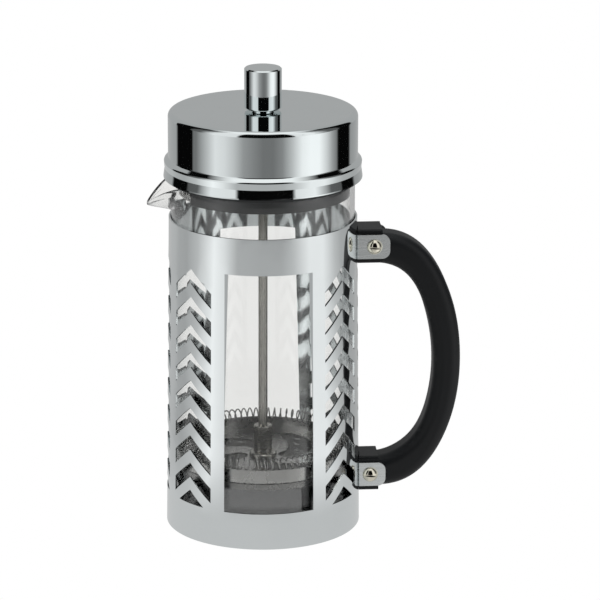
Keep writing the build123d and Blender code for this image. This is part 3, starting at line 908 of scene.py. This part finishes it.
def pale_floor(azimuth):
    """White floor that glows rather than being lit; polished metal shows it darker, as painted reflections that
    follow its distance and turn.
    """
    material = bpy.data.materials.new("pale_floor")
    material.use_nodes = True
    tree = material.node_tree
    tree.nodes.clear()
    parts = add_node(tree, "ShaderNodeSeparateXYZ")
    tree.links.new(tree.nodes.new("ShaderNodeTexCoord").outputs["Object"], parts.inputs[0])
    fraction = turn_fraction(tree, parts.outputs["X"], parts.outputs["Y"], azimuth)
    squares = [math_node(tree, "POWER", parts.outputs[axis], 2.0) for axis in ("X", "Y")]
    reach = math_node(tree, "SQRT", math_node(tree, "ADD", *squares))
    # painted reflection: greys by distance, first near the foot, then the table, the walls and the upper room
    shown = mixed(tree, limited(tree, reach, FOOT_REACH), FOOT_PAINTED_REFLECTION, ramp(tree, fraction, PAINTED_TABLE_REFLECTION))
    shown = mixed(tree, math_node(tree, "GREATER_THAN", reach, TABLE_REACH), shown,
                  ramp(tree, fraction, PAINTED_WALL_REFLECTION))
    shown = mixed(tree, math_node(tree, "GREATER_THAN", reach, WALLS_REACH), shown,
                  ramp(tree, fraction, UPPER))
    # painted shade: the dark gap at the table's edge, put into the reflected floor
    near, far, first, last = PAINTED_DARK_GAP
    ring = between(tree, reach, near, far)
    sector = between(tree, fraction, first / 360.0 + 0.5, last / 360.0 + 0.5)
    shown = mixed(tree, math_node(tree, "MULTIPLY", ring, sector), shown, BLACK)
    # painted light: the floor is an emitter, not a lit surface, and mirror rays see painted reflections on it
    glow = add_node(tree, "ShaderNodeEmission")
    tree.links.new(by_ray(tree, shown), glow.inputs["Color"])
    out = add_node(tree, "ShaderNodeOutputMaterial")
    tree.links.new(glow.outputs[0], out.inputs["Surface"])
    flat_disc("floor", FLOOR_RADIUS, FLOOR_HEIGHT, material)


def soft_light(name, place, size, power):
    """Round soft light aimed at the press; mirror rays and the camera pass it by."""
    data = bpy.data.lights.new(name, "AREA")
    data.shape = "DISK"
    data.size = size
    data.energy = power
    light = bpy.data.objects.new(name, data)
    light.location = place
    light.rotation_euler = (Vector((0.0, 0.0, AIM_HEIGHT[name])) - Vector(place)).to_track_quat("-Z", "Y").to_euler()
    light.visible_glossy = False
    light.visible_camera = False
    bpy.context.scene.collection.objects.link(light)


def studio_camera(studio):
    turn, tilt = studio.azimuth, studio.pitch
    place = Vector((math.sin(turn) * studio.distance, -math.cos(turn) * studio.distance, studio.height))
    ahead = Vector((-math.sin(turn) * math.cos(tilt), math.cos(turn) * math.cos(tilt), -math.sin(tilt)))
    right = Vector((math.cos(turn), math.sin(turn), 0.0))
    up = right.cross(ahead)
    look = ahead * math.cos(studio.aim) + right * math.sin(studio.aim)
    side = look.cross(up)
    data = bpy.data.cameras.new("camera")
    data.lens = studio.lens
    data.sensor_width = 36.0
    data.clip_end = 50.0
    camera = bpy.data.objects.new("camera", data)
    camera.matrix_world = Matrix((
        (side.x, up.x, -look.x, place.x),
        (side.y, up.y, -look.y, place.y),
        (side.z, up.z, -look.z, place.z),
        (0.0, 0.0, 0.0, 1.0),
    ))
    bpy.context.scene.collection.objects.link(camera)
    bpy.context.scene.camera = camera


# ---------------------------------------------------------------------------------------------
# operators


class PressFrameOperator(bpy.types.Operator):
    """Finish the frame: polished sleeve and floor plate, satin brackets, screws, cushion and handle"""

    bl_idname = "press.frame_finishes"
    bl_label = "Frame and Handle"

    def execute(self, context):
        give(polished_steel(), "frame_sleeve", "base_plate")
        give(satin_strip(), "upper_handle_bracket", "lower_handle_bracket")
        give(nickel(), "handle_screws", "handle_barrel_nuts")
        give(cushion_plastic_painted_shade(), "base_cushion")
        give(handle_plastic(), "handle_grip")
        return {"FINISHED"}


class PressGlassOperator(bpy.types.Operator):
    """Blow the beaker: a clear closed shell with a fire-polished rim and a drawn-out lip"""

    bl_idname = "press.glass"
    bl_label = "Beaker"

    def execute(self, context):
        points, faces = blown_glass(context.scene.press_glass)
        beaker = mesh_piece("blown_beaker", points, faces, clear_glass())
        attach(beaker, "beaker")
        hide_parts("glass_beaker")
        return {"FINISHED"}


class PressLidOperator(bpy.types.Operator):
    """Finish the lid: chromed shell and bush, dark collar, steel strainer and nut"""

    bl_idname = "press.lid_finishes"
    bl_label = "Lid"

    def execute(self, context):
        give(lid_chrome(), "lid_shell", "lid_bush", "plunger_knob")
        give(collar_plastic(), "lid_collar")
        give(filter_steel(), "pour_strainer")
        give(satin_strip(), "bush_nut")
        return {"FINISHED"}


class PressPlungerOperator(bpy.types.Operator):
    """Finish the plunger: drawn rod and hub, pressed plates and the nut below them"""

    bl_idname = "press.plunger_finishes"
    bl_label = "Plunger"

    def execute(self, context):
        give(rod_steel(), "plunger_rod")
        give(hub_steel(), "rod_hub")
        give(filter_steel(), "spiral_plate")
        give(lower_plate_steel(), "cross_plate")
        give(satin_strip(), "filter_nut")
        return {"FINISHED"}


class PressSpringOperator(bpy.types.Operator):
    """Wind the filter's edge spring as one closed coil of wire"""

    bl_idname = "press.spring"
    bl_label = "Coil Spring"

    def execute(self, context):
        sizes = context.scene.press_spring
        values = {"Turns": sizes.turns, "Ring Radius": sizes.ring_radius, "Coil Radius": sizes.coil_radius,
                  "Wire Radius": sizes.wire_radius, "Height": sizes.height}
        spring = grown_piece("wound_spring", spring_tree(), values, spring_wire())
        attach(spring, "filter")
        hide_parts("coil_spring")
        return {"FINISHED"}


class PressClothOperator(bpy.types.Operator):
    """Weave the filter's wire cloth"""

    bl_idname = "press.cloth"
    bl_label = "Wire Cloth"

    def execute(self, context):
        sizes = context.scene.press_cloth
        low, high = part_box("mesh_screen")
        values = {"Radius": high.x, "Pitch": sizes.pitch, "Wire Radius": sizes.wire_radius,
                  "Height": (low.z + high.z) / 2}
        cloth = grown_piece("woven_screen", cloth_tree(), values, wire_cloth())
        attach(cloth, "filter")
        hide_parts("mesh_screen")
        return {"FINISHED"}


class PressStageOperator(bpy.types.Operator):
    """Set the stage: glowing floor with painted reflections, soft lights, the room that the metal reflects, and the
    camera
    """

    bl_idname = "press.stage"
    bl_label = "Studio"

    def execute(self, context):
        studio = context.scene.press_studio
        room_light(studio.azimuth)
        pale_floor(studio.azimuth)
        soft_light("overhead", OVERHEAD_PLACE, OVERHEAD_SIZE, studio.key_power)
        soft_light("left_box", LEFT_BOX_PLACE, BOX_SIZE, LEFT_BOX_POWER)
        soft_light("right_box", RIGHT_BOX_PLACE, BOX_SIZE, RIGHT_BOX_POWER)
        studio_camera(studio)
        context.scene.view_settings.view_transform = "Standard"
        return {"FINISHED"}


OPERATORS = (
    PressFrameOperator,
    PressGlassOperator,
    PressLidOperator,
    PressPlungerOperator,
    PressSpringOperator,
    PressClothOperator,
    PressStageOperator,
)


class PressPanel(bpy.types.Panel):
    """Lists the pieces of the press"""

    bl_idname = "VIEW3D_PT_french_press"
    bl_label = "French Press"
    bl_space_type = "VIEW_3D"
    bl_region_type = "UI"
    bl_category = "French Press"

    def draw(self, context):
        for operator in OPERATORS:
            self.layout.operator(operator.bl_idname)
        for name, group in PROPERTY_GROUPS.items():
            box = self.layout.box()
            for label in group.__annotations__:
                box.prop(getattr(context.scene, name), label)


def register():
    for group in PROPERTY_GROUPS.values():
        bpy.utils.register_class(group)
    for name, group in PROPERTY_GROUPS.items():
        setattr(bpy.types.Scene, name, PointerProperty(type=group))
    for operator in OPERATORS:
        bpy.utils.register_class(operator)
    bpy.utils.register_class(PressPanel)


def unregister():
    bpy.utils.unregister_class(PressPanel)
    for operator in reversed(OPERATORS):
        bpy.utils.unregister_class(operator)
    for name, group in PROPERTY_GROUPS.items():
        delattr(bpy.types.Scene, name)
        bpy.utils.unregister_class(group)


def run(operator):
    """Calls an operator by its bl_idname."""
    group, name = operator.bl_idname.split(".")
    getattr(getattr(bpy.ops, group), name)()


def main():
    register()
    for operator in OPERATORS:
        run(operator)


if __name__ == "__main__":
    main()
